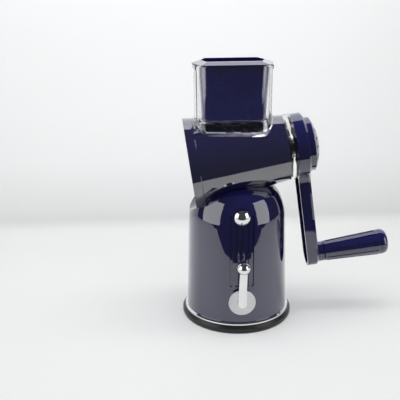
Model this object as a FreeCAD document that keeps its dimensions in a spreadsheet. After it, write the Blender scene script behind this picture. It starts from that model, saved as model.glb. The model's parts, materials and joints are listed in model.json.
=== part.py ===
import FreeCAD, Part
import Sketcher
import math
import os

# Rotary cabbage shredder. Millimetres. The origin is the middle of the base's
# underside on the table, +X runs towards the crank, +Z is up.

doc = FreeCAD.newDocument("shredder")
os.makedirs("parts", exist_ok=True)
Vector = FreeCAD.Vector


class Size:
    """A driving value together with its formula over the cells of the sheet."""

    def __init__(self, value, text):
        self.value = float(value)
        self.text = text

    def __add__(self, other):
        return Size(self.value + number(other), "(%s + %s)" % (self.text, formula(other)))

    def __radd__(self, other):
        return Size(number(other) + self.value, "(%s + %s)" % (formula(other), self.text))

    def __sub__(self, other):
        return Size(self.value - number(other), "(%s - %s)" % (self.text, formula(other)))

    def __rsub__(self, other):
        return Size(number(other) - self.value, "(%s - %s)" % (formula(other), self.text))

    def __mul__(self, other):
        return Size(self.value * number(other), "(%s * %s)" % (self.text, formula(other)))

    def __rmul__(self, other):
        return Size(number(other) * self.value, "(%s * %s)" % (formula(other), self.text))

    def __truediv__(self, other):
        return Size(self.value / number(other), "(%s / %s)" % (self.text, formula(other)))

    def __neg__(self):
        return Size(-self.value, "(0 - %s)" % self.text)


def number(amount):
    return amount.value if isinstance(amount, Size) else float(amount)


def formula(amount):
    return amount.text if isinstance(amount, Size) else "(%.10g)" % amount


def sine(angle):
    return Size(math.sin(math.radians(number(angle))), "sin(%s)" % formula(angle))


def cosine(angle):
    return Size(math.cos(math.radians(number(angle))), "cos(%s)" % formula(angle))


sheet = doc.addObject("Spreadsheet::Sheet", "sizes")
rows = []


def size(name, value):
    rows.append(name)
    cell = "B%d" % len(rows)
    sheet.set("A%d" % len(rows), name)
    sheet.set(cell, str(value))
    sheet.setAlias(cell, name)
    return Size(value, "sizes." + name)


# Fits shared by every joint between two pieces.
slide_fit = size("slide_fit", 0.05)
seat_gap = size("seat_gap", 0.3)

# The domed base.
pad_radius = size("pad_radius", 60)
pad_height = size("pad_height", 8.2)
plate_height = size("plate_height", 4)
wall_radius = size("wall_radius", 55.1)
hip_radius = size("hip_radius", 51.5)
hip_height = size("hip_height", 125)
crown_radius = size("crown_radius", 40)
crown_height = size("crown_height", 150)
hip_rounding = size("hip_rounding", 60)
crown_rounding = size("crown_rounding", 22)
base_wall = size("base_wall", 2.8)
trim_height = size("trim_height", 2.6)
trim_radius = size("trim_radius", 57.3)

# The slots pressed into the front of the base.
flute_pitch = size("flute_pitch", 5.52)
flute_width = size("flute_width", 3)
flute_depth = size("flute_depth", 1.5)
flute_low = size("flute_low", 51)
flute_high = size("flute_high", 127.6)

# The suction lift.
shaft_height = size("shaft_height", 35)
shaft_radius = size("shaft_radius", 5)
cam_radius = size("cam_radius", 9)
cam_offset = size("cam_offset", 1.5)
rod_radius = size("rod_radius", 4)
disc_radius = size("disc_radius", 14.1)
disc_front = size("disc_front", 57.4)
lever_width = size("lever_width", 8.6)
ball_radius = size("ball_radius", 6.75)
ball_height = size("ball_height", 78.6)
ball_reach = size("ball_reach", 69)

# The release button and its latch.
button_height = size("button_height", 126)
button_radius = size("button_radius", 7.9)
latch_height = size("latch_height", 119)
latch_thickness = size("latch_thickness", 2)

# The tilted barrel.
tilt_angle = size("tilt_angle", 8.226)
mouth_x = size("mouth_x", -50.58)
mouth_z = size("mouth_z", 170.57)
mouth_radius = size("mouth_radius", 47.5)
end_radius = size("end_radius", 34.6)
barrel_length = size("barrel_length", 101.86)
barrel_wall = size("barrel_wall", 2.4)
band_width = size("band_width", 9)
band_height = size("band_height", 0.5)
foot_half_width = size("foot_half_width", 15)
foot_half_depth = size("foot_half_depth", 11)
foot_bottom = size("foot_bottom", 112)

# The feed hopper and its pusher.
hopper_x = size("hopper_x", -5.4)
hopper_half_width = size("hopper_half_width", 40.5)
hopper_half_depth = size("hopper_half_depth", 29.5)
hopper_bulge = size("hopper_bulge", 0.136)
hopper_corner = size("hopper_corner", 13.5)
hopper_wall = size("hopper_wall", 2.2)
hopper_top = size("hopper_top", 274)
rim_height = size("rim_height", 4.2)
rim_lip = size("rim_lip", 1.2)
pusher_half_width = size("pusher_half_width", 37.2)
pusher_half_depth = size("pusher_half_depth", 26.6)
pusher_bottom = size("pusher_bottom", 217)
cap_half_width = size("cap_half_width", 42)
cap_half_depth = size("cap_half_depth", 31)
cap_bulge = size("cap_bulge", 0.274)
cap_height = size("cap_height", 3.1)

# The drum and its blades.
drum_gap = size("drum_gap", 2.2)
drum_wall = size("drum_wall", 3)
drum_start = size("drum_start", 2)
drum_back = size("drum_back", 7.86)
drum_end = barrel_length - drum_back
web_thickness = size("web_thickness", 4)
blade_thickness = size("blade_thickness", 0.8)
blade_angle = size("blade_angle", 110)
louvre_height = size("louvre_height", 1.3)
louvre_length = size("louvre_length", 5.4)
louvre_width = size("louvre_width", 9)

# The crank, its knob and its grip.
crank_gap = size("crank_gap", 8.74)
crank_start = barrel_length + crank_gap
crank_thickness = size("crank_thickness", 12.8)
hub_radius = size("hub_radius", 34.5)
arm_length = size("arm_length", 123.5)
arm_radius = size("arm_radius", 13.5)
spindle_radius = size("spindle_radius", 6)
knob_radius = size("knob_radius", 28.6)
knob_height = size("knob_height", 5)
knob_dome = size("knob_dome", 8.3)
axle_radius = size("axle_radius", 4)
grip_length = size("grip_length", 62.8)
grip_thin = size("grip_thin", 11)
grip_thick = size("grip_thick", 13.9)
doc.recompute()


def drive(item, name, amount):
    """Give a property its value, through the sheet wherever a cell stands behind it."""
    if isinstance(amount, Size):
        item.setExpression(name, amount.text)
    else:
        setattr(item, name, amount)


def place(item, spot, axis=(0, 0, 1), angle=0):
    item.Placement = FreeCAD.Placement(
        Vector(*[number(part) for part in spot]), FreeCAD.Rotation(Vector(*axis), number(angle)))
    for letter, part in zip("xyz", spot):
        if isinstance(part, Size):
            item.setExpression("Placement.Base." + letter, part.text)
    if isinstance(angle, Size):
        item.setExpression("Placement.Rotation.Angle", angle.text)
    return item


def on_barrel(item, station=0):
    """Set a piece on the barrel's axis: its own Z runs along the axis and its X downwards."""
    spot = (mouth_x + station * cosine(tilt_angle), 0, mouth_z + station * sine(tilt_angle))
    return place(item, spot, (0, 1, 0), 90 - tilt_angle)


def rod(label, radius, start, end, axis="Z", u=0, v=0):
    """A cylinder from start to end along an axis; u and v are its other two coordinates."""
    item = doc.addObject("Part::Cylinder", label)
    drive(item, "Radius", radius)
    drive(item, "Height", end - start)
    if axis == "Z":
        return place(item, (u, v, start))
    if axis == "Y":
        return place(item, (u, start, v), (1, 0, 0), -90)
    return place(item, (start, u, v), (0, 1, 0), 90)


def block(label, low, high):
    item = doc.addObject("Part::Box", label)
    for name, bottom, top in zip(("Length", "Width", "Height"), low, high):
        drive(item, name, top - bottom)
    return place(item, low)


def fuse(label, *items):
    item = doc.addObject("Part::MultiFuse", label)
    item.Shapes = list(items)
    item.Refine = False
    return item


def common(label, *items):
    item = doc.addObject("Part::MultiCommon", label)
    item.Shapes = list(items)
    item.Refine = False
    return item


def cut(label, item, *tools):
    result = doc.addObject("Part::Cut", label)
    result.Base = item
    result.Tool = tools[0] if len(tools) == 1 else fuse(label + "_tools", *tools)
    result.Refine = False
    return result


def origin_piece(body, role):
    return [piece for piece in body.Origin.OriginFeatures if piece.Role == role][0]


def outline(body, plane, corners, lift=0):
    """A closed outline on one of the body's own planes, every corner held by two sizes."""
    sketch = body.newObject("Sketcher::SketchObject", body.Name + "_outline")
    sketch.AttachmentSupport = (origin_piece(body, plane + "_Plane"), [""])
    sketch.MapMode = "FlatFace"
    sketch.AttachmentOffset = FreeCAD.Placement(Vector(0, 0, number(lift)), FreeCAD.Rotation())
    if isinstance(lift, Size):
        sketch.setExpression("AttachmentOffset.Base.z", lift.text)
    count = len(corners)
    spots = [Vector(number(u), number(v), 0) for u, v in corners]
    for index in range(count):
        sketch.addGeometry(Part.LineSegment(spots[index], spots[(index + 1) % count]))
    for index in range(count):
        following = (index + 1) % count
        sketch.addConstraint(Sketcher.Constraint("Coincident", index, 2, following, 1))
    for index, corner in enumerate(corners):
        for kind, amount, line in (("DistanceX", corner[0], -2), ("DistanceY", corner[1], -1)):
            if number(amount) == 0:
                sketch.addConstraint(Sketcher.Constraint("PointOnObject", index, 1, line))
                continue
            held = Sketcher.Constraint(kind, -1, 1, index, 1, number(amount))
            place_in_list = sketch.addConstraint(held)
            if isinstance(amount, Size):
                sketch.setExpression("Constraints[%d]" % place_in_list, amount.text)
    return sketch


def round_outline(body, radius, lift=0, u=0, v=0):
    """A circle on the body's XY plane."""
    sketch = body.newObject("Sketcher::SketchObject", body.Name + "_circle")
    sketch.AttachmentSupport = (origin_piece(body, "XY_Plane"), [""])
    sketch.MapMode = "FlatFace"
    sketch.AttachmentOffset = FreeCAD.Placement(Vector(0, 0, number(lift)), FreeCAD.Rotation())
    if isinstance(lift, Size):
        sketch.setExpression("AttachmentOffset.Base.z", lift.text)
    centre = Vector(number(u), number(v), 0)
    sketch.addGeometry(Part.Circle(centre, Vector(0, 0, 1), number(radius)))
    held = [("Radius", radius, None), ("DistanceX", u, -2), ("DistanceY", v, -1)]
    for kind, amount, line in held:
        if line is not None and number(amount) == 0:
            sketch.addConstraint(Sketcher.Constraint("PointOnObject", 0, 3, line))
            continue
        if kind == "Radius":
            limit = Sketcher.Constraint("Radius", 0, number(amount))
        else:
            limit = Sketcher.Constraint(kind, -1, 1, 0, 3, number(amount))
        place_in_list = sketch.addConstraint(limit)
        if isinstance(amount, Size):
            sketch.setExpression("Constraints[%d]" % place_in_list, amount.text)
    return sketch


def new_body(label):
    return doc.addObject("PartDesign::Body", label)


def raise_from(body, sketch, length, kind="Pad"):
    pad = body.newObject("PartDesign::" + kind, body.Name + "_" + kind.lower())
    pad.Profile = sketch
    drive(pad, "Length", length)
    if kind == "Pocket":
        pad.Reversed = True
    body.Tip = pad
    return pad


def prism(label, plane, corners, start, end):
    """A straight block with the given outline, from start to end across the plane."""
    body = new_body(label)
    lift = -end if plane == "XZ" else start
    raise_from(body, outline(body, plane, corners, lift), end - start)
    return body


def turn(body, corners, angle=360, kind="Revolution"):
    feature = body.newObject("PartDesign::" + kind, body.Name + "_turned")
    sketch = outline(body, "XZ", corners)
    feature.Profile = sketch
    feature.ReferenceAxis = (sketch, ["V_Axis"])
    feature.Midplane = True
    drive(feature, "Angle", angle)
    body.Tip = feature
    return feature


def turned(label, corners, angle=360):
    body = new_body(label)
    turn(body, corners, angle)
    return body


def around(body, features, count):
    pattern = body.newObject("PartDesign::PolarPattern", body.Name + "_round")
    pattern.Originals = features
    pattern.Axis = (origin_piece(body, "Z_Axis"), [""])
    pattern.Angle = 360
    pattern.Occurrences = count
    body.Tip = pattern
    return pattern


def round_edges(body, radius, wanted, kind="Fillet"):
    doc.recompute()
    base = body.Tip
    names = ["Edge%d" % (index + 1) for index, edge in enumerate(base.Shape.Edges) if wanted(edge)]
    if not names:
        raise RuntimeError("no edge to round on " + body.Name)
    feature = body.newObject("PartDesign::" + kind, body.Name + "_rounded")
    feature.Base = (base, names)
    drive(feature, "Radius" if kind == "Fillet" else "Size", radius)
    body.Tip = feature
    return feature


def near(first, second, slack=0.02):
    return abs(number(first) - number(second)) < slack


def ring_at(radius, height):
    """Circular edges round the Z axis at one radius and height."""
    def wanted(edge):
        box = edge.BoundBox
        level = near(box.ZMin, height) and near(box.ZMax, height)
        return level and edge.Curve.TypeId == "Part::GeomCircle" and near(edge.Curve.Radius, radius)
    return wanted


def rising(u=None, v=None, across=None):
    """Straight edges that climb in Z, optionally only those near a given spot."""
    def wanted(edge):
        ends = [vertex.Point for vertex in edge.Vertexes]
        if len(ends) != 2 or abs(ends[0].z - ends[1].z) < 1:
            return False
        slope = math.hypot(ends[0].x - ends[1].x, ends[0].y - ends[1].y)
        if slope > 0.2 * abs(ends[0].z - ends[1].z):
            return False
        middle = (ends[0] + ends[1]) * 0.5
        if across is not None and abs(middle.y) > number(across):
            return False
        if u is not None and abs(middle.x - number(u)) > 1:
            return False
        return v is None or abs(abs(middle.y) - number(v)) < 1
    return wanted


def level_at(height):
    """Every edge lying flat at one height."""
    def wanted(edge):
        return near(edge.BoundBox.ZMin, height) and near(edge.BoundBox.ZMax, height)
    return wanted


nodes = {}


def node(name, item, tilted=False, solids=1):
    """Register a finished piece under its own name; tilted ones ride on the barrel's axis."""
    if tilted:
        piece = doc.addObject("Part::Refine", name + "_piece")
        piece.Source = item
        on_barrel(piece)
        item = piece
    item.Label = name
    nodes[name] = (item, solids)
    return item


# Outer surface of the barrel and everything that follows it.
barrel_taper = (mouth_radius - end_radius) / barrel_length


def barrel_radius(station):
    return mouth_radius - barrel_taper * station


def barrel_cone(label, extra, start, end):
    """A solid with the barrel's outer slope, larger by extra, between two stations."""
    item = doc.addObject("Part::Cone", label)
    drive(item, "Radius1", barrel_radius(start) + extra)
    drive(item, "Radius2", barrel_radius(end) + extra)
    drive(item, "Height", end - start)
    return on_barrel(item, start)


# The domed base, drawn once and used again smaller for its hollow and for the slots.
ring_low = pad_height + seat_gap
ring_high = ring_low + trim_height
plate_top = pad_height + plate_height
wall_slope = (wall_radius - hip_radius) / (hip_height - ring_low)
lean = math.atan(number(wall_slope))
shoulder = math.atan2(number(crown_radius) - number(hip_radius),
                      number(crown_height) - number(hip_height))
hip_shift = (math.cos(lean) + math.cos(shoulder), math.sin(lean) - math.sin(shoulder))
hip_share = 1 + math.cos(lean) * math.cos(shoulder) - math.sin(lean) * math.sin(shoulder)
crown_shift = (1 + math.sin(shoulder)) / math.cos(shoulder)
crown_tangent = math.tan((math.pi / 2 + shoulder) / 2)


def wall_at(height):
    return wall_radius - wall_slope * (height - ring_low)


def dome(label, inset, bottom, rounded=True):
    """The base's outer form moved inwards by inset and cut off level at the bottom.

    Inside, where it is not seen, straight slopes take the place of the rounded shoulder.
    """
    foot = wall_at(bottom) - inset * (1 / math.cos(lean))
    hip = (hip_radius - inset * (hip_shift[0] / hip_share),
           hip_height - inset * (hip_shift[1] / hip_share))
    crown = (crown_radius - inset * crown_shift, crown_height - inset)
    body = turned(label, [(0, bottom), (foot, bottom), hip, crown, (0, crown[1])])
    if rounded:
        round_edges(body, hip_rounding - inset, ring_at(*hip))
        round_edges(body, crown_rounding - inset, ring_at(*crown))
    else:
        round_edges(body, (crown_rounding - inset) * crown_tangent, ring_at(*crown), "Chamfer")
    return body


base_skin = dome("base_skin", 0, ring_low)
base_core = dome("base_core", base_wall, ring_low - 4, rounded=False)
saddle_skin = barrel_cone("saddle_skin", seat_gap + base_wall, -60, 160)
base_hollow = cut("base_hollow", base_core, saddle_skin)

saddle = barrel_cone("saddle", seat_gap, -60, 160)
saddle_band = barrel_cone("saddle_band", seat_gap + band_height, -60, band_width + 0.4)

# Socket for the barrel's foot, with the latch's rails on both sides.
foot_fit = size("foot_fit", 0.3)
socket_hole = block("socket_hole",
                    (-(foot_half_width + foot_fit), -(foot_half_depth + foot_fit), 100),
                    (foot_half_width + foot_fit, foot_half_depth + foot_fit, 160))
socket_wall = block("socket_wall",
                    (-(foot_half_width + 2.5), -(foot_half_depth + 2.5), latch_height + 3.5),
                    (foot_half_width + 2.5, foot_half_depth + 2.5, crown_height))
rail_pieces = []
rail_grooves = []
for side in (-1, 1):
    inner = foot_half_width + 3.3
    low = inner * side if side > 0 else -(inner + 5.7)
    high = inner + 5.7 if side > 0 else -inner
    rail_pieces.append(block("rail", (low, -24, latch_height - 2.5), (high, 24, crown_height)))
    low = inner - 1 if side > 0 else -(inner + 2)
    high = inner + 2 if side > 0 else -(inner - 1)
    rail_grooves.append(block("rail_groove", (low, -25, latch_height - 0.1),
                              (high, 25, latch_height + latch_thickness + 0.1)))

# Button well, opening to the front.
well_floor = size("well_floor", 42.5)
well_boss = rod("well_boss", button_radius + 2.7, -60, -(well_floor - 2.5), "Y", 0, button_height)
well_hole = rod("well_hole", button_radius + seat_gap, -70, -well_floor, "Y", 0, button_height)
stem_hole = rod("stem_hole", 2.5 + slide_fit, -70, -30, "Y", 0, button_height)

# Screw bosses inside the wall.
screw_circle = size("screw_circle", 48.5)
boss_pieces = []
for quarter in range(4):
    angle = math.radians(45 + 90 * quarter)
    spot = (screw_circle * math.cos(angle), screw_circle * math.sin(angle))
    boss_pieces.append(rod("boss", 4.6, plate_top, 32, "Z", *spot))

# The slots on the front: rounded prisms whose floor follows the wall.
flute_floor = dome("flute_floor", flute_depth, 40)
flute_pieces = []
for column in range(-2, 3):
    middle = flute_pitch * column
    half = flute_width / 2
    flute_pieces.append(block("flute", (middle - half, -70, flute_low + half),
                              (middle + half, -30, flute_high - half)))
    flute_pieces.append(rod("flute_end", half, -70, -30, "Y", middle, flute_low + half))
    flute_pieces.append(rod("flute_end", half, -70, -30, "Y", middle, flute_high - half))
flute_cutter = cut("flute_cutter", fuse("flutes", *flute_pieces), flute_floor)

ring_seat = cut("ring_seat", rod("ring_seat_outside", 70, ring_low - 1, ring_high),
                rod("ring_seat_inside", wall_at(ring_low) - 1.5, ring_low - 2, ring_high + 1))
neck_radius = size("neck_radius", 7)
neck_hole = rod("neck_hole", neck_radius + 0.1, -70, -40, "Y", 0, shaft_height)

inner_pieces = fuse("inner_pieces", socket_wall, well_boss, *(rail_pieces + boss_pieces))
inner_trimmed = common("inner_trimmed", inner_pieces, base_skin)
base_walls = fuse("base_walls", cut("base_walls_open", base_skin, base_hollow), inner_trimmed)
base_saddled = cut("base_saddled", base_walls, saddle, saddle_band)
base_fluted = cut("base_fluted", base_saddled, flute_cutter)
base_drilled = cut("base_drilled", base_fluted, socket_hole, well_hole, stem_hole, neck_hole,
                   *rail_grooves)
base_shell = cut("base_shell", base_drilled, ring_seat)
node("base_shell", base_shell)

ring_inside = wall_at(ring_low) - 1.4
trim_ring = turned("trim_ring", [(ring_inside, ring_low), (trim_radius, ring_low),
                                 (trim_radius - 0.2, ring_low + 1.2),
                                 (trim_radius - 1.6, ring_high), (ring_inside, ring_high)])
node("trim_ring", trim_ring)

# Rubber pad: a rounded rim, a thin membrane and a middle boss holding the rod's disc.
rod_disc_radius = size("rod_disc_radius", 10)
pad_floor = size("pad_floor", 3.5)
suction_pad = turned("suction_pad", [
    (0, 0), (pad_radius - 1, 0), (pad_radius, 1.8), (pad_radius, 5.2),
    (pad_radius - 2.2, pad_height), (46, pad_height), (44, 3), (14, 3),
    (14, pad_height - 0.2), (rod_radius + 0.1, pad_height - 0.2),
    (rod_radius + 0.1, pad_floor + 2.1), (rod_disc_radius + 0.1, pad_floor + 2.1),
    (rod_disc_radius + 0.1, pad_floor - 0.1), (0, pad_floor - 0.1)])
node("suction_pad", suction_pad)

plate_disc = rod("plate_disc", wall_at(plate_top) - base_wall - 0.5, pad_height, plate_top)
posts = [block("post", (-8, 7, plate_top - 1), (8, 14, shaft_height + 7)),
         block("post", (-8, -14, plate_top - 1), (8, -7, shaft_height + 7))]
shaft_bore = rod("shaft_bore", shaft_radius + slide_fit, -20, 20, "Y", 0, shaft_height)
guide_bore = rod("guide_bore", rod_radius + slide_fit, 0, 20)
plate_recess = rod("plate_recess", 15, pad_height - 1, pad_height + 0.8)
base_plate = cut("base_plate", fuse("plate_body", plate_disc, *posts), shaft_bore, guide_bore,
                 plate_recess)
node("base_plate", base_plate)

# Round plate on the front wall that carries the lever's shaft.
wall_cover = dome("wall_cover", -0.1, ring_low - 4)
disc_body = rod("disc_body", disc_radius, -disc_front, -45, "Y", 0, shaft_height)
disc_neck = rod("disc_neck", neck_radius, -(disc_front - 1), -48, "Y", 0, shaft_height)
disc_bore = rod("disc_bore", shaft_radius + slide_fit, -70, -30, "Y", 0, shaft_height)
disc_plate = fuse("disc_plate", cut("disc_fitted", disc_body, wall_cover), disc_neck)
lever_escutcheon = cut("lever_escutcheon", disc_plate, disc_bore)
node("lever_escutcheon", lever_escutcheon)

# The lever: a flat bar standing on its shaft, then leaning out to the ball.
bar_back = disc_front + 0.6
bar_front = bar_back + 4.2
bar_middle = bar_back + 2.1
bend_height = shaft_height + 12.6
lean_run = ball_reach - bar_middle
lean_rise = ball_height - bend_height
lean_length = math.hypot(number(lean_run), number(lean_rise))
along_y = number(lean_run) / lean_length
along_z = number(lean_rise) / lean_length
bar_stop = 5.6
tip_y = ball_reach - bar_stop * along_y
tip_z = ball_height - bar_stop * along_z
bar_side = prism("bar_side", "YZ", [
    (-bar_back, shaft_height - 10), (-bar_back, bend_height - 0.3),
    (-(tip_y - 1.9 * along_z), tip_z + 1.9 * along_y),
    (-(tip_y + 1.9 * along_z), tip_z - 1.9 * along_y),
    (-bar_front, bend_height + 0.3), (-bar_front, shaft_height - 10)], -10, 10)
bar_end = lever_width / 2
bar_face = prism("bar_face", "XZ", [
    (-bar_end, shaft_height), (bar_end, shaft_height), (bar_end * 0.84, ball_height + 8),
    (-bar_end * 0.84, ball_height + 8)], -90, -40)
bar_round = rod("bar_round", bar_end, -90, -40, "Y", 0, shaft_height)
bar_body = common("bar_body", bar_side, fuse("bar_front_view", bar_face, bar_round))
pin_angle = math.degrees(math.atan2(along_y, along_z))


def lever_pin(label, radius, near_end, far_end):
    """A cylinder on the bar's leaning axis, between two distances below the ball's centre."""
    item = doc.addObject("Part::Cylinder", label)
    drive(item, "Radius", radius)
    item.Height = far_end - near_end
    spot = (0, -(ball_reach - far_end * along_y), ball_height - far_end * along_z)
    return place(item, spot, (1, 0, 0), pin_angle)


shaft_socket = rod("shaft_socket", 4, -(bar_back + 2.5), -bar_back, "Y", 0, shaft_height)
suction_lever = fuse("suction_lever", cut("bar_drilled", bar_body, shaft_socket),
                     lever_pin("ball_pin", 1.8, 1.4, 6.6))
node("suction_lever", suction_lever)
ball_body = doc.addObject("Part::Sphere", "ball_body")
drive(ball_body, "Radius", ball_radius)
place(ball_body, (0, -ball_reach, ball_height))
lever_ball = cut("lever_ball", ball_body, lever_pin("ball_flat", 8, bar_stop - 0.1, 12),
                 lever_pin("ball_hole", 1.85, 1.2, 8))
node("lever_ball", lever_ball)

shaft_body = rod("shaft_body", shaft_radius, -bar_back, 14.8, "Y", 0, shaft_height)
shaft_front = rod("shaft_front", 3.95, -(bar_back + 2.4), -bar_back + 1, "Y", 0, shaft_height)
node("cam_shaft", fuse("cam_shaft", shaft_body, shaft_front))
cam_body = rod("cam_body", cam_radius, -5, 5, "Y", -cam_offset, shaft_height - cam_offset)
cam_bore = rod("cam_bore", shaft_radius + slide_fit, -6, 6, "Y", 0, shaft_height)
node("lift_cam", cut("lift_cam", cam_body, cam_bore))

# Lifting rod: a yoke round the cam, a rod through the plate and a disc in the pad.
yoke_middle = shaft_height - cam_offset
yoke_block = block("yoke_block", (-15, -4.6, yoke_middle - 14), (14, 4.6, yoke_middle + 14))
yoke_slot = block("yoke_slot", (-(cam_radius + 2.9), -6, yoke_middle - cam_radius - 0.15),
                  (cam_radius - 0.5, 6, yoke_middle + cam_radius + 0.15))
rod_stem = rod("rod_stem", rod_radius, pad_floor + 1, yoke_middle - 13)
rod_foot = rod("rod_foot", rod_disc_radius, pad_floor, pad_floor + 1.9)
pull_rod = fuse("pull_rod", cut("yoke", yoke_block, yoke_slot), rod_stem, rod_foot)
node("pull_rod", pull_rod)

# Release button, latch plate and the spring between button and well.
button_face = size("button_face", 56.2)
button_dome = doc.addObject("Part::Sphere", "button_dome")
dome_rise = 3.7
cap_radius = (button_radius * button_radius + dome_rise * dome_rise) / (2 * dome_rise)
drive(button_dome, "Radius", cap_radius)
place(button_dome, (0, -(button_face - cap_radius), button_height))
button_column = rod("button_column", button_radius, -(button_face + 1), -(button_face - 10.2),
                    "Y", 0, button_height)
button_hollow = rod("button_hollow", button_radius - 1.3, -(button_face - 4.4), -40, "Y", 0,
                    button_height)
button_stem = rod("button_stem", 2.5, -(button_face - 3), -38.3, "Y", 0, button_height)
button_tip = rod("button_tip", 1.75, -39, -36.2, "Y", 0, button_height)
button_cap = cut("button_cap", common("button_form", button_column, button_dome), button_hollow)
node("release_button", fuse("release_button", button_cap, button_stem, button_tip))

latch_top = latch_height + latch_thickness
latch_flat = block("latch_flat", (-(foot_half_width + 5), -38.2, latch_height),
                   (foot_half_width + 5, 18, latch_top))
latch_tab = block("latch_tab", (-7, -38.2, latch_height), (7, -36.2, latch_height + 12))
latch_window = block("latch_window", (-(foot_half_width + 1.5), -(foot_half_depth + 4.5), 100),
                     (foot_half_width + 1.5, foot_half_depth + 2.2, 130))
latch_tooth = block("latch_tooth", (-5.5, foot_half_depth - 2.2, latch_height),
                    (5.5, 17, latch_top))
tab_hole = rod("tab_hole", 1.8, -40, -30, "Y", 0, button_height)
latch_open = cut("latch_open", fuse("latch_solid", latch_flat, latch_tab), latch_window, tab_hole)
node("latch_plate", fuse("latch_plate", latch_open, latch_tooth))

spring_start = -(button_face - 4.7)
spring_end = -(well_floor + 0.2)
spring_line = doc.addObject("Part::Helix", "spring_line")
spring_line.Radius = 4.2
spring_wire = 0.9
drive(spring_line, "Height", spring_end - spring_start - spring_wire)
drive(spring_line, "Pitch", (spring_end - spring_start - spring_wire) / 2)
spring_section = doc.addObject("Part::RegularPolygon", "spring_section")
spring_section.Polygon = 4
spring_section.Circumradius = spring_wire / 2
place(spring_section, (4.2, 0, 0), (1, 0, 0), 90)
spring_coil = doc.addObject("Part::Sweep", "spring_coil")
spring_coil.Sections = [spring_section]
spring_coil.Spine = (spring_line, [])
spring_coil.Solid = True
spring_coil.Frenet = True
place(spring_coil, (0, spring_start + spring_wire / 2, button_height), (1, 0, 0), -90)
node("button_spring", spring_coil)

# The barrel: one tapered wall with a wider mouth band, a square foot and the hopper's opening.
barrel_body = turned("barrel_body", [
    (mouth_radius - barrel_wall, 0), (barrel_radius(0) + band_height, 0),
    (barrel_radius(band_width) + band_height, band_width), (barrel_radius(band_width), band_width + 0.5),
    (end_radius, barrel_length), (end_radius - barrel_wall, barrel_length)])
on_barrel(barrel_body)
barrel_inside = barrel_cone("barrel_inside", -barrel_wall, -1, barrel_length + 1)
foot_outside = block("foot_outside", (-foot_half_width, -foot_half_depth, foot_bottom),
                     (foot_half_width, foot_half_depth, 150))
foot_inside = block("foot_inside", (-(foot_half_width - 2), -(foot_half_depth - 2), foot_bottom - 1),
                    (foot_half_width - 2, foot_half_depth - 2, 128))
foot_slot = block("foot_slot", (-6.2, 0, latch_height - 0.4), (6.2, 20, latch_top + 0.4))


def feed_outline(half_width, half_depth, bulge, middle=hopper_x):
    """Six corners of a feed opening: straight long sides, short sides pushed out to a tip."""
    side = half_width - bulge * half_depth
    return [(middle + half_width, 0), (middle + side, half_depth), (middle - side, half_depth),
            (middle - half_width, 0), (middle - side, -half_depth), (middle + side, -half_depth)]


def feed_prism(label, inset, low, high):
    """The hopper's outline moved inwards by inset, between two heights, corners rounded."""
    slant = math.hypot(1, number(hopper_bulge))
    half_width = hopper_half_width - inset * slant
    half_depth = hopper_half_depth - inset
    body = prism(label, "XY", feed_outline(half_width, half_depth, hopper_bulge), low, high)
    round_edges(body, hopper_corner - inset, rising(v=half_depth))
    round_edges(body, 80, rising(across=2))
    return body


skirt_inset = size("skirt_inset", 1.2)
feed_opening = feed_prism("feed_opening", skirt_inset - 0.15, 180, 240)
barrel_tube = fuse("barrel_tube", barrel_body, foot_outside)
node("barrel_shell", cut("barrel_shell", barrel_tube, barrel_inside, foot_inside, foot_slot,
                         feed_opening))

# The clear hopper: a tube with a rim, a flange lying on the barrel and a skirt inside it.
feed_inside = feed_prism("feed_inside", hopper_wall, 170, hopper_top + 16)
hopper_low = 187
feed_tube = feed_prism("feed_tube", 0, hopper_low, hopper_top - rim_height + 0.5)
feed_rim = feed_prism("feed_rim", -rim_lip, hopper_top - rim_height, hopper_top)
round_edges(feed_rim, 0.8, level_at(hopper_top), "Chamfer")
flange_form = feed_prism("flange_form", -1.6, hopper_low, 235)
flange_cap = barrel_cone("flange_cap", 0.15 + 1.8, -10, 110)
hopper_seat = barrel_cone("hopper_seat", 0.15, -20, 120)
flange = common("flange", flange_form, flange_cap)
hopper_walls = cut("hopper_walls", fuse("hopper_outside", feed_tube, feed_rim, flange), hopper_seat)
skirt_form = feed_prism("skirt_form", skirt_inset, hopper_low, 222)
skirt = cut("skirt", skirt_form, barrel_cone("skirt_floor", -barrel_wall, -20, 120))
node("feed_hopper", cut("feed_hopper", fuse("hopper_whole", hopper_walls, skirt), feed_inside))

# The clear end bearing closing the barrel's small end, and the bush pressed into it.
bearing_stop = barrel_length + 0.04
bearing_end = crank_start - 0.4
bearing_start = drum_end + 2
bush_seat = drum_end + 4
spigot = end_radius - barrel_wall - 0.1
bush_radius = size("bush_radius", 9)
end_bearing = turned("end_bearing_form", [
    (bush_radius + 0.05, bush_seat), (12, bush_seat), (12, bush_seat + 6),
    (spigot - 1.8, bush_seat + 6), (spigot - 1.8, bearing_start),
    (spigot + barrel_taper * (bearing_stop - bearing_start), bearing_start),
    (spigot, bearing_stop), (end_radius + 0.3, bearing_stop), (end_radius + 0.3, bearing_end),
    (end_radius - 2.1, bearing_end), (end_radius - 2.1, bearing_end - 3.2),
    (12, bearing_end - 3.2), (12, bearing_end), (bush_radius + 0.05, bearing_end)])
node("end_bearing", end_bearing, tilted=True)
spindle_bush = turned("spindle_bush_form", [
    (spindle_radius + slide_fit, bush_seat - 1.4), (11.5, bush_seat - 1.4), (11.5, bush_seat),
    (bush_radius, bush_seat),
    (bush_radius, bearing_end), (spindle_radius + slide_fit, bearing_end)])
node("spindle_bush", spindle_bush, tilted=True)
thrust_washer = turned("thrust_washer_form", [
    (spindle_radius + 0.3, drum_end + 0.3), (11, drum_end + 0.3), (11, drum_end + 2.3),
    (spindle_radius + 0.3, drum_end + 2.3)])
node("thrust_washer", thrust_washer, tilted=True)


# The drum: a tapered cage with three windows, closed at the small end by a web.
def drum_radius(station):
    return barrel_radius(station) - barrel_wall - drum_gap


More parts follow.
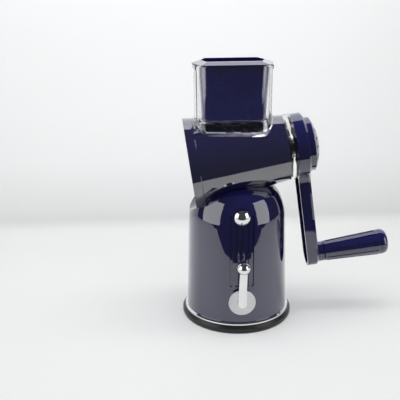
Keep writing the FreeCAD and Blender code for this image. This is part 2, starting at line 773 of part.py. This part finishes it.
web_inside = drum_end - web_thickness
cage = new_body("drum_cage_form")
turn(cage, [
    (drum_radius(drum_start) - drum_wall, drum_start), (drum_radius(drum_start), drum_start),
    (drum_radius(drum_end), drum_end), (0, drum_end), (0, web_inside - 0.4),
    (11.15, web_inside - 0.4), (11.15, web_inside - 6), (14, web_inside - 6), (14, web_inside),
    (drum_radius(web_inside) - drum_wall, web_inside)])
blade_start = drum_start + 5.2
blade_end = web_inside - 0.2
rebate_low = blade_start - 0.2
rebate_depth = blade_thickness + 0.1
rebate = turn(cage, [
    (drum_radius(rebate_low) - rebate_depth, rebate_low), (drum_radius(rebate_low) + 3, rebate_low),
    (drum_radius(web_inside) + 3, web_inside), (drum_radius(web_inside) - rebate_depth, web_inside)],
    blade_angle + 0.6, "Groove")
window_low = rebate_low + 2
window_high = web_inside - 2
window = turn(cage, [
    (drum_radius(window_low) - 6, window_low), (drum_radius(window_low) + 3, window_low),
    (drum_radius(window_high) + 3, window_high), (drum_radius(window_high) - 6, window_high)],
    blade_angle - 5, "Groove")
around(cage, [rebate, window], 3)
square_half = size("square_half", 5.5)
square_hole = block("square_hole", (-(square_half + 0.05), -(square_half + 0.05), web_inside - 2),
                    (square_half + 0.05, square_half + 0.05, drum_end + 1))
node("drum_cage", cut("drum_cage_cut", cage, square_hole), tilted=True)

# Blade panels: thin tapered sheets with rows of raised louvres, each open towards the cut.
sheet_form = turned("sheet_form", [
    (drum_radius(blade_start) - blade_thickness - 0.05, blade_start),
    (drum_radius(blade_start) - 0.05, blade_start), (drum_radius(blade_end) - 0.05, blade_end),
    (drum_radius(blade_end) - blade_thickness - 0.05, blade_end)], blade_angle)
half_angle = math.degrees(math.atan(number(barrel_taper)))
louvre_columns = 4
louvre_rows = 4


def louvre_wedge(label, low, high, back, front, half, angle, station):
    """A wedge on the drum's surface that slopes from its high front edge to its low back edge."""
    item = doc.addObject("Part::Wedge", label)
    item.Xmin = low[0]
    item.X2min = low[1]
    drive(item, "Xmax", high[0])
    drive(item, "X2max", high[1])
    drive(item, "Ymin", back)
    drive(item, "Ymax", front)
    for name, amount in (("Zmin", -half), ("Z2min", -half), ("Zmax", half), ("Z2max", half)):
        drive(item, name, amount)
    spin = FreeCAD.Rotation(Vector(0, 0, 1), angle)
    item.Placement = FreeCAD.Placement(Vector(0, 0, 0), spin * FreeCAD.Rotation(Vector(0, 1, 0), -half_angle))
    radius = drum_radius(station) - 0.05
    drive(item, "Placement.Base.x", radius * math.cos(math.radians(angle)))
    drive(item, "Placement.Base.y", radius * math.sin(math.radians(angle)))
    drive(item, "Placement.Base.z", station)
    return item


hoods = []
mouths = []
usable = number(blade_angle) - 16
row_step = (number(blade_end) - number(blade_start) - 8) / (louvre_rows + 0.5)
for column in range(louvre_columns):
    angle = -usable / 2 + usable * column / (louvre_columns - 1) - 3
    for row in range(louvre_rows):
        station = blade_start + 4 + row_step * (row + 0.5 + 0.5 * (column % 2))
        hoods.append(louvre_wedge("hood", (-0.5, -0.5), (louvre_height, 0.05), 0, louvre_length,
                                  louvre_width / 2, angle, station))
        mouths.append(louvre_wedge("louvre_mouth", (-3, -3), (louvre_height * 0.6 + 0.1, -0.15), -1.8,
                                   louvre_length * 0.7, louvre_width / 2 - 0.7, angle, station))
panel_raised = fuse("panel_raised", sheet_form, *hoods)
panel_one = cut("panel_one", panel_raised, *mouths)
node("blade_panel_1", panel_one, tilted=True)
for copy in (1, 2):
    turned_panel = doc.addObject("Part::Refine", "panel_turned")
    turned_panel.Source = panel_one
    place(turned_panel, (0, 0, 0), (0, 0, 1), 120 * copy)
    node("blade_panel_%d" % (copy + 1), turned_panel, tilted=True)

# The spindle: a flat head in the drum, a square, a round journal, a square and a stud.
crank_end = crank_start + crank_thickness
spindle_parts = [
    rod("spindle_head", 11, web_inside - 3.5, web_inside - 0.45),
    block("spindle_square", (-square_half, -square_half, web_inside - 1),
          (square_half, square_half, drum_end + 0.2)),
    rod("spindle_journal", spindle_radius, drum_end, crank_start - 0.1),
    block("crank_square", (-5, -5, crank_start - 0.2), (5, 5, crank_end + 0.2)),
    rod("spindle_stud", 4, crank_end, crank_end + 10.1)]
corner_trim = rod("corner_trim", 6.4, drum_end + 1, crank_end + 0.3)
square_turned = common("square_turned", spindle_parts[3], corner_trim)
node("drum_spindle", fuse("spindle_form", *(spindle_parts[:3] + [square_turned, spindle_parts[4]])),
     tilted=True)

# The crank: a round hub and a straight arm, hollow at the back, with the grip's boss at its end.
crank = new_body("crank_form")
raise_from(crank, round_outline(crank, hub_radius, crank_start), crank_thickness)
raise_from(crank, outline(crank, "XY", [(0, -arm_radius), (arm_length, -arm_radius),
                                        (arm_length, arm_radius), (0, arm_radius)], crank_start),
           crank_thickness)
raise_from(crank, round_outline(crank, arm_radius, crank_start, arm_length, 0), crank_thickness)
joint_x = math.sqrt(number(hub_radius) ** 2 - number(arm_radius) ** 2)
round_edges(crank, 12, rising(u=joint_x, v=arm_radius))
round_edges(crank, 2.5, level_at(crank_end), "Chamfer")
crank_wall = size("crank_wall", 2.4)
crank_face = crank_end - 2.6
hollow_parts = [
    rod("hub_hollow", hub_radius - crank_wall, crank_start - 1, crank_face),
    block("arm_hollow", (0, -(arm_radius - crank_wall), crank_start - 1),
          (arm_length, arm_radius - crank_wall, crank_face)),
    rod("end_hollow", arm_radius - crank_wall, crank_start - 1, crank_face, "Z", arm_length, 0)]
crank_open = cut("crank_open", crank, *hollow_parts)
crank_ribs = [rod("hub_boss", 9, crank_start, crank_end - 1),
              rod("grip_boss", 10.8, crank_end - 1, crank_end + 6.5, "Z", arm_length, 0),
              rod("grip_boss_inside", 8.5, crank_face - 1, crank_end, "Z", arm_length, 0),
              block("long_rib", (8, -0.9, crank_face - 6), (arm_length - 9.2, 0.9, crank_face + 1)),
              block("hub_rib", (-(hub_radius - 1), -0.9, crank_face - 6), (-8, 0.9, crank_face + 1)),
              block("hub_rib", (-0.9, 8, crank_face - 6), (0.9, hub_radius - 1, crank_face + 1)),
              block("hub_rib", (-0.9, -(hub_radius - 1), crank_face - 6), (0.9, -8, crank_face + 1))]
for step in range(1, 5):
    middle = hub_radius + (arm_length - hub_radius) * (step / 5)
    crank_ribs.append(block("cross_rib", (middle - 0.9, -(arm_radius - 1), crank_face - 6),
                            (middle + 0.9, arm_radius - 1, crank_face + 1)))
crank_holes = [block("crank_square_hole", (-5.05, -5.05, crank_start - 1), (5.05, 5.05, crank_end + 1)),
               rod("axle_hole", axle_radius + 0.05, crank_start, crank_end + 8, "Z", arm_length, 0)]
node("crank_arm", cut("crank_arm_form", fuse("crank_ribbed", crank_open, *crank_ribs), *crank_holes),
     tilted=True)

# The grip: an axle fixed in the crank, a loose tapered sleeve and a cap that closes its end.
grip_start = crank_end + 6.8
grip_end = grip_start + grip_length
axle_body = rod("axle_body", axle_radius, crank_face - 1, grip_end - 4, "Z", arm_length, 0)
axle_head = rod("axle_head", 6.8, grip_end - 6, grip_end - 4, "Z", arm_length, 0)
node("grip_axle", fuse("axle_form", axle_body, axle_head), tilted=True)


def notch(label, sides, middle, spin, tip, reach, height):
    """A straight-sided cutter leaning by tip, set at a reach from the axis and turned by spin."""
    item = doc.addObject("Part::Box", label)
    for name, amount in zip(("Length", "Width", "Height"), sides):
        drive(item, name, amount)
    item.Placement = FreeCAD.Placement(Vector(0, 0, 0), spin * tip)
    shift = (spin * tip).multVec(Vector(middle[0], middle[1], 0))
    outward = spin.multVec(Vector(1, 0, 0))
    drive(item, "Placement.Base.x", reach * outward.x - shift.x)
    drive(item, "Placement.Base.y", reach * outward.y - shift.y)
    drive(item, "Placement.Base.z", height - shift.z)
    return item


sleeve = turned("sleeve_form", [
    (axle_radius + slide_fit, grip_start), (grip_thin, grip_start), (grip_thick, grip_end),
    (8, grip_end), (8, grip_end - 8), (axle_radius + slide_fit, grip_end - 8)])
round_edges(sleeve, 1, ring_at(grip_thin, grip_start), "Chamfer")
sleeve_slope = (grip_thick - grip_thin) / grip_length
flute_cutters = []
grip_flutes = 10
for index in range(grip_flutes):
    angle = 360 * index / grip_flutes
    spin = FreeCAD.Rotation(Vector(0, 0, 1), angle)
    tip = FreeCAD.Rotation(Vector(0, 1, 0), math.degrees(math.atan(number(sleeve_slope))))
    reach = grip_thin - 0.6
    flute_cutters.append(notch("grip_flute", (4, 3, grip_length - 7), (0, 1.5), spin, tip, reach,
                               grip_start + 3))
sleeve_cut = cut("sleeve_cut", sleeve, *flute_cutters)
place(sleeve_cut, (arm_length, 0, 0))
node("grip_sleeve", sleeve_cut, tilted=True)
cap = turned("cap_form", [
    (0, grip_end - 2.8), (7.9, grip_end - 2.8), (7.9, grip_end + 0.3), (grip_thick - 0.1, grip_end + 0.3),
    (grip_thick - 0.1, grip_end + 8.2), (0, grip_end + 8.2)])
round_edges(cap, 6, ring_at(grip_thick - 0.1, grip_end + 8.2))
place(cap, (arm_length, 0, 0))
node("grip_cap", cap, tilted=True)

# The knob that clamps the crank, with a threaded brass insert.
knob_start = crank_end + 0.9
knob_shoulder = knob_start + knob_height
insert_end = crank_end + 10.6
knob_cap = doc.addObject("Part::Sphere", "knob_cap")
knob_sphere = (knob_radius * knob_radius + knob_dome * knob_dome) / (2 * knob_dome)
drive(knob_cap, "Radius", knob_sphere)
place(knob_cap, (0, 0, knob_shoulder + knob_dome - knob_sphere))
knob_column = rod("knob_column", knob_radius, knob_start, knob_shoulder + knob_dome + 1)
knob_body = common("knob_body", knob_column, knob_cap)
insert_bore = rod("insert_bore", 6.55, knob_start - 1, insert_end + 0.1)
knob_flutes = []
knob_flute_count = 16
for index in range(knob_flute_count):
    angle = 360 * index / knob_flute_count
    spin = FreeCAD.Rotation(Vector(0, 0, 1), angle)
    tip = (FreeCAD.Rotation(Vector(1, 0, 0), 25) * FreeCAD.Rotation(Vector(0, 1, 0), -60)
           * FreeCAD.Rotation(Vector(0, 0, 1), 45))
    knob_flutes.append(notch("knob_flute", (3.1, 3.1, 9), (1.55, 1.55), spin, tip,
                             knob_radius + 0.9, knob_shoulder + 1))
node("clamp_knob", cut("knob_form", knob_body, insert_bore, *knob_flutes), tilted=True)
insert = turned("insert_form", [
    (4 + slide_fit, knob_start), (6.5, knob_start), (6.5, insert_end), (4 + slide_fit, insert_end)])
node("knob_insert", insert, tilted=True)

# The pusher: a tapered hollow block under a sloped cap that rests on the hopper's rim.
cap_low = hopper_top + seat_gap
pusher_draft = size("pusher_draft", 2.4)
cap_draft = size("cap_draft", 75)
cup_depth = size("cup_depth", 50)


def drafted(label, corners, start, length, draft, upwards):
    """A block that narrows by the draft angle away from its outline at start."""
    body = new_body(label)
    pad = raise_from(body, outline(body, "XY", corners, start), length)
    pad.Reversed = not upwards
    drive(pad, "TaperAngle", -draft)
    return body


cap_crest = cap_low + cap_height
pusher_outline = feed_outline(pusher_half_width, pusher_half_depth, hopper_bulge)
pusher_length = cap_low + 0.5 - pusher_bottom
pusher_body = drafted("pusher_body", pusher_outline, cap_low + 0.5, pusher_length, pusher_draft,
                      False)
halfway_in = number(pusher_length) / 2 * math.tan(math.radians(number(pusher_draft)))
round_edges(pusher_body, 10, rising(v=pusher_half_depth - halfway_in))
round_edges(pusher_body, 4, level_at(pusher_bottom))
cap_outline = feed_outline(cap_half_width, cap_half_depth, cap_bulge)
cap_plate = prism("cap_plate", "XY", cap_outline, cap_low, cap_low + 0.7)
cap_slope = drafted("cap_slope", cap_outline, cap_low + 0.7, cap_height - 0.7, cap_draft, True)
cup_outline = feed_outline(cap_half_width - 9.5, cap_half_depth - 12, cap_bulge)
pusher_cup = drafted("pusher_cup", cup_outline, cap_crest + 0.5, cup_depth, 1.5, False)
node("pusher", cut("pusher", fuse("pusher_solid", pusher_body, cap_plate, cap_slope), pusher_cup))

doc.recompute()
faults = [item.Name for item in doc.Objects if "Invalid" in item.State or "Error" in item.State]
if faults:
    raise RuntimeError("features that failed: " + ", ".join(faults))
for name, (item, solids) in nodes.items():
    shape = item.Shape
    if shape.isNull() or not shape.isValid():
        raise RuntimeError(name + " is not a valid shape")
    if len(shape.Solids) != solids:
        raise RuntimeError("%s has %d solids" % (name, len(shape.Solids)))
    shape.exportStep("parts/%s.step" % name)
    print(name, round(shape.Volume, 1))
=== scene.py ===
import json
import math

import bpy
from mathutils import Matrix, Vector

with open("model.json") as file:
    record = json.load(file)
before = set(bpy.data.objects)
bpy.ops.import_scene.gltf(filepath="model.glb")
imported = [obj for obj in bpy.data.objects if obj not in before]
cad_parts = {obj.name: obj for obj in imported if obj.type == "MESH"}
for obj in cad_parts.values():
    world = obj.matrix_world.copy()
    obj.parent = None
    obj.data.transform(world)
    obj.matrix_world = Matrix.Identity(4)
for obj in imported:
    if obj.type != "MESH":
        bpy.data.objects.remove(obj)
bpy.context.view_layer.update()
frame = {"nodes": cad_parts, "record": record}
nodes = frame["nodes"]

MM = 0.001

# The noise behind each finish lies mostly within noise_span. Its two colours meet in colour_span.
noise_detail = 3.0
noise_span = (0.3, 0.7)
colour_span = (0.35, 0.65)
coat_roughness = 0.02
grain_depth = 0.2 * MM


# Materials. Every finish is made of noise, so no surface is one flat colour.
def new_material(name):
    material = bpy.data.materials.new(name)
    material.use_nodes = True
    return material, material.node_tree.nodes, material.node_tree.links


def mix_surfaces(material, share, first, second):
    """Show the first shader where share is 0, and the second where it is 1."""
    tree_nodes, links = material.node_tree.nodes, material.node_tree.links
    either = tree_nodes.new("ShaderNodeMixShader")
    links.new(share, either.inputs[0])
    links.new(first, either.inputs[1])
    links.new(second, either.inputs[2])
    links.new(either.outputs["Shader"], tree_nodes["Material Output"].inputs["Surface"])


def varied(tree_nodes, links, scale, low, high):
    """A number that wanders between low and high over the object, and the noise it comes from."""
    place = tree_nodes.new("ShaderNodeTexCoord")
    noise = tree_nodes.new("ShaderNodeTexNoise")
    noise.inputs["Scale"].default_value = scale
    noise.inputs["Detail"].default_value = noise_detail
    span = tree_nodes.new("ShaderNodeMapRange")
    span.inputs["From Min"].default_value, span.inputs["From Max"].default_value = noise_span
    span.inputs["To Min"].default_value = low
    span.inputs["To Max"].default_value = high
    links.new(place.outputs["Object"], noise.inputs["Vector"])
    links.new(noise.outputs["Fac"], span.inputs["Value"])
    return span.outputs["Result"], noise.outputs["Fac"]


def two_tone(tree_nodes, links, fac, dark, light):
    """A colour between dark and light, led by the noise."""
    ramp = tree_nodes.new("ShaderNodeValToRGB")
    for stop, position, colour in zip(ramp.color_ramp.elements, colour_span, (dark, light)):
        stop.position = position
        stop.color = (*colour, 1)
    links.new(fac, ramp.inputs["Fac"])
    return ramp.outputs["Color"]


def finish(name, dark, light, rough, metallic=0.0, scale=60.0, coat=0.0, coat_ior=1.5, bump=0.0,
           bump_scale=400.0, transmission=0.0, ior=1.5, specular=0.5, lets_lamps_through=0.0):
    """A finish whose colour and polish vary slightly; rough is its smoothest and roughest value."""
    material, tree_nodes, links = new_material(name)
    shader = tree_nodes["Principled BSDF"]
    polish, fac = varied(tree_nodes, links, scale, *rough)
    links.new(polish, shader.inputs["Roughness"])
    links.new(two_tone(tree_nodes, links, fac, dark, light), shader.inputs["Base Color"])
    for socket, value in (("Metallic", metallic), ("Coat Weight", coat), ("Coat IOR", coat_ior),
                          ("Coat Roughness", coat_roughness), ("Transmission Weight", transmission),
                          ("IOR", ior), ("Specular IOR Level", specular)):
        shader.inputs[socket].default_value = value
    if bump:
        grain, _ = varied(tree_nodes, links, bump_scale, 0, 1)
        relief = tree_nodes.new("ShaderNodeBump")
        relief.inputs["Strength"].default_value = bump
        relief.inputs["Distance"].default_value = grain_depth
        links.new(grain, relief.inputs["Height"])
        links.new(relief.outputs["Normal"], shader.inputs["Normal"])
    if lets_lamps_through:
        see_through = tree_nodes.new("ShaderNodeBsdfTransparent")
        see_through.inputs["Color"].default_value = (*[lets_lamps_through] * 3, 1)
        path = tree_nodes.new("ShaderNodeLightPath")
        mix_surfaces(material, path.outputs["Is Shadow Ray"], shader.outputs["BSDF"],
                     see_through.outputs["BSDF"])
    return material


finishes = {
    "navy_plastic": finish("navy_plastic", (0.0110, 0.0105, 0.092), (0.0130, 0.0122, 0.106),
                           (0.035, 0.055), coat=1.0, coat_ior=1.75, scale=30, ior=1.5),
    "navy_gloss": finish("navy_gloss", (0.0120, 0.0112, 0.066), (0.0140, 0.0128, 0.076),
                         (0.035, 0.055), coat=1.0, coat_ior=2.3, scale=30, ior=1.6),
    "clear_plastic": finish("clear_plastic", (0.955, 0.955, 0.97), (0.985, 0.985, 0.99),
                            (0.0, 0.02), transmission=1.0, ior=1.49, lets_lamps_through=0.9),
    "white_plastic": finish("white_plastic", (0.70, 0.70, 0.69), (0.76, 0.76, 0.75), (0.18, 0.28)),
    "black_plastic": finish("black_plastic", (0.018, 0.018, 0.019), (0.028, 0.028, 0.03),
                            (0.35, 0.5), bump=0.15),
    "black_rubber": finish("black_rubber", (0.009, 0.009, 0.010), (0.018, 0.018, 0.019),
                           (0.30, 0.42), bump=0.1),
    "chrome": finish("chrome", (0.80, 0.80, 0.82), (0.86, 0.86, 0.87), (0.03, 0.06), metallic=1.0),
    "satin_chrome": finish("satin_chrome", (0.56, 0.56, 0.58), (0.64, 0.64, 0.65), (0.10, 0.16),
                           metallic=1.0),
    "steel": finish("steel", (0.52, 0.52, 0.54), (0.60, 0.60, 0.61), (0.18, 0.30), metallic=1.0,
                    scale=120),
    "brass": finish("brass", (0.62, 0.44, 0.17), (0.70, 0.50, 0.22), (0.2, 0.32), metallic=1.0),
}

# Two pieces look unlike the rest of their slot: the barrel reflects more, and the disc is duller.
slots = {row["node"]: row["material_slot"] for row in frame["record"]["subparts"]}
slots["barrel_shell"] = "navy_gloss"
slots["lever_escutcheon"] = "satin_chrome"
for name, item in nodes.items():
    item.data.materials.clear()
    item.data.materials.append(finishes[slots[name]])
    for polygon in item.data.polygons:
        polygon.material_index = 0


# The table, which ends just in front of the picture, and the wall that it curves up into.
table_front = -0.265
wall_back = 0.262
cove_radius = 0.020
wall_top = 1.1
half_width = 0.8


def sweep_sheet(name, profile, material):
    """A smooth sheet: the profile's points in Y and Z, drawn out along X."""
    corners = [(side_x, y, z) for y, z in profile for side_x in (-half_width, half_width)]
    faces = [(2 * row, 2 * row + 1, 2 * row + 3, 2 * row + 2) for row in range(len(profile) - 1)]
    mesh = bpy.data.meshes.new(name)
    mesh.from_pydata(corners, [], faces)
    for polygon in mesh.polygons:
        polygon.use_smooth = True
    item = bpy.data.objects.new(name, mesh)
    bpy.context.scene.collection.objects.link(item)
    mesh.materials.append(material)
    return item


cove_steps = 24
turns = [math.pi / 2 * step / cove_steps for step in range(cove_steps + 1)]
cove = [(wall_back - cove_radius * (1 - math.sin(turn)), cove_radius * (1 - math.cos(turn)))
        for turn in turns]
table_finish = finish("table_finish", (0.615, 0.615, 0.61), (0.635, 0.635, 0.63), (0.5, 0.6),
                      scale=3, specular=0.25)
table = sweep_sheet("table", [(table_front, 0), *cove, (wall_back, wall_top)], table_finish)


def paint_backdrop_light(material, steps, spread, middle_x, least):
    """Paint light and shade onto the table and wall as a glow by height, for the eye, mirrors and
    clear pieces.

    Each step is a height and its glow. The glow rises with height, so the wall is painted brighter
    up high than at its foot. It fades away from middle_x as painted shade towards the sides, but
    not below the share that least names. On the table the glow also paints light into the object's
    shadows.
    """
    tree_nodes, links = material.node_tree.nodes, material.node_tree.links
    place = tree_nodes.new("ShaderNodeNewGeometry")
    parts = tree_nodes.new("ShaderNodeSeparateXYZ")
    links.new(place.outputs["Position"], parts.inputs[0])
    ramp = tree_nodes.new("ShaderNodeValToRGB")
    highest = steps[-1][0]
    while len(ramp.color_ramp.elements) < len(steps):
        ramp.color_ramp.elements.new(0.5)
    for stop, (height, glow) in zip(ramp.color_ramp.elements, steps):
        stop.position = height / highest
        stop.color = (glow, glow, glow, 1)

    def combine(operation, first, second):
        item = tree_nodes.new("ShaderNodeMath")
        item.operation = operation
        for socket, value in zip(item.inputs, (first, second)):
            if isinstance(value, (int, float)):
                socket.default_value = value
            else:
                links.new(value, socket)
        return item.outputs[0]

    links.new(combine("DIVIDE", parts.outputs["Z"], highest), ramp.inputs["Fac"])
    aside = combine("SUBTRACT", parts.outputs["X"], middle_x)
    fade = combine("SUBTRACT", 1.0, combine("MULTIPLY", combine("MULTIPLY", aside, aside), spread))
    path = tree_nodes.new("ShaderNodeLightPath")
    seen = combine("ADD", path.outputs["Is Camera Ray"], path.outputs["Is Glossy Ray"])
    seen = combine("ADD", seen, path.outputs["Is Transmission Ray"])
    seen = combine("MINIMUM", seen, 1.0)
    faded = combine("MULTIPLY", ramp.outputs["Color"], combine("MAXIMUM", fade, least))
    glow = combine("MULTIPLY", faded, seen)
    shader = tree_nodes["Principled BSDF"]
    shader.inputs["Emission Color"].default_value = (0.97, 0.99, 1, 1)
    links.new(glow, shader.inputs["Emission Strength"])


# Painted light on the backdrop: a glow that rises from the table up the wall and fades towards the
# sides, and that also lightens the object's shadows on the table.
painted_light_by_height = [(0.0, 0.27), (0.006, 0.31), (0.038, 0.40), (0.107, 0.53), (0.18, 0.57), (0.33, 0.60)]
paint_backdrop_light(table_finish, painted_light_by_height, spread=1.2, middle_x=-0.09, least=0.4)


def open_from_behind(material):
    """Let the eye see through the backdrop's back face, so that it hides nothing from behind."""
    tree_nodes, links = material.node_tree.nodes, material.node_tree.links
    face = tree_nodes.new("ShaderNodeNewGeometry")
    path = tree_nodes.new("ShaderNodeLightPath")
    from_behind = tree_nodes.new("ShaderNodeMath")
    from_behind.operation = "MULTIPLY"
    links.new(face.outputs["Backfacing"], from_behind.inputs[0])
    links.new(path.outputs["Is Camera Ray"], from_behind.inputs[1])
    see_through = tree_nodes.new("ShaderNodeBsdfTransparent")
    mix_surfaces(material, from_behind.outputs[0], tree_nodes["Principled BSDF"].outputs["BSDF"],
                 see_through.outputs["BSDF"])


open_from_behind(table_finish)


# Soft boxes. The windows show only in reflections, and the two boxes overhead only light surfaces.
object_middle = (0, 0, 0.13)


def soft_box(name, azimuth, height, reach, sides, glow, aim=object_middle):
    """A panel at an angle from the viewer's side, positive to the right, lit to a given glow."""
    turn = math.radians(azimuth)
    spot = Vector((reach * math.sin(turn), -reach * math.cos(turn), height))
    lamp = bpy.data.lights.new(name, "AREA")
    lamp.shape = "RECTANGLE"
    lamp.size, lamp.size_y = sides
    lamp.energy = glow * math.pi * sides[0] * sides[1]
    item = bpy.data.objects.new(name, lamp)
    item.location = spot
    item.rotation_euler = (Vector(aim) - spot).to_track_quat("-Z", "Y").to_euler()
    bpy.context.scene.collection.objects.link(item)
    return item


left_window = soft_box("left_window", -68, 0.44, 1.30, (1.20, 1.15), 1.9)
right_window = soft_box("right_window", 58, 0.44, 1.30, (0.80, 1.15), 1.9)
for window in (left_window, right_window):
    window.visible_diffuse = False
top_box = soft_box("top_box", 0, 1.50, 0.15, (2.4, 2.0), 1.55)
wall_box = soft_box("wall_box", 180, 0.95, 0.0, (1.3, 0.2), 5.0, aim=(0, wall_back, 0.35))
for overhead in (top_box, wall_box):
    overhead.visible_glossy = False

# The room: dim to light and reflections, and pale to the eye, which sees it only from behind.
room_light = 0.07
room_pale = 0.85
world = bpy.data.worlds.new("room")
bpy.context.scene.world = world
world.use_nodes = True
room_nodes, room_links = world.node_tree.nodes, world.node_tree.links
background = room_nodes["Background"]
background.inputs["Color"].default_value = (0.80, 0.82, 0.90, 1)
room_path = room_nodes.new("ShaderNodeLightPath")
room_glow = room_nodes.new("ShaderNodeMapRange")
room_glow.inputs["To Min"].default_value = room_light
room_glow.inputs["To Max"].default_value = room_pale
room_links.new(room_path.outputs["Is Camera Ray"], room_glow.inputs["Value"])
room_links.new(room_glow.outputs["Result"], background.inputs["Strength"])

# Camera, from the fit of the photo's edges: place in millimetres, turns in degrees, focal length in
# pixels of a picture 400 wide.
camera_spot = Vector((-73.32, -678.34, 346.86)) * MM
pitch = math.radians(17.737)
yaw = math.radians(-2.828)
roll = math.radians(-0.624)
focal_pixels = 664.78
picture_pixels = 400
sensor_width = 36
farthest_seen = 20
forward = Vector((-math.sin(yaw) * math.cos(pitch), math.cos(yaw) * math.cos(pitch),
                  -math.sin(pitch)))
level = Vector((math.cos(yaw), math.sin(yaw), 0))
upward = level.cross(forward)
side = level * math.cos(roll) + upward * math.sin(roll)
top = upward * math.cos(roll) - level * math.sin(roll)
camera_data = bpy.data.cameras.new("camera")
camera_data.sensor_width = sensor_width
camera_data.lens = sensor_width * focal_pixels / picture_pixels
camera_data.clip_end = farthest_seen
camera = bpy.data.objects.new("camera", camera_data)
turned = Matrix((side, top, -forward)).transposed().to_4x4()
camera.matrix_world = Matrix.Translation(camera_spot) @ turned
bpy.context.scene.collection.objects.link(camera)
bpy.context.scene.camera = camera
bpy.context.scene.view_settings.view_transform = "Standard"
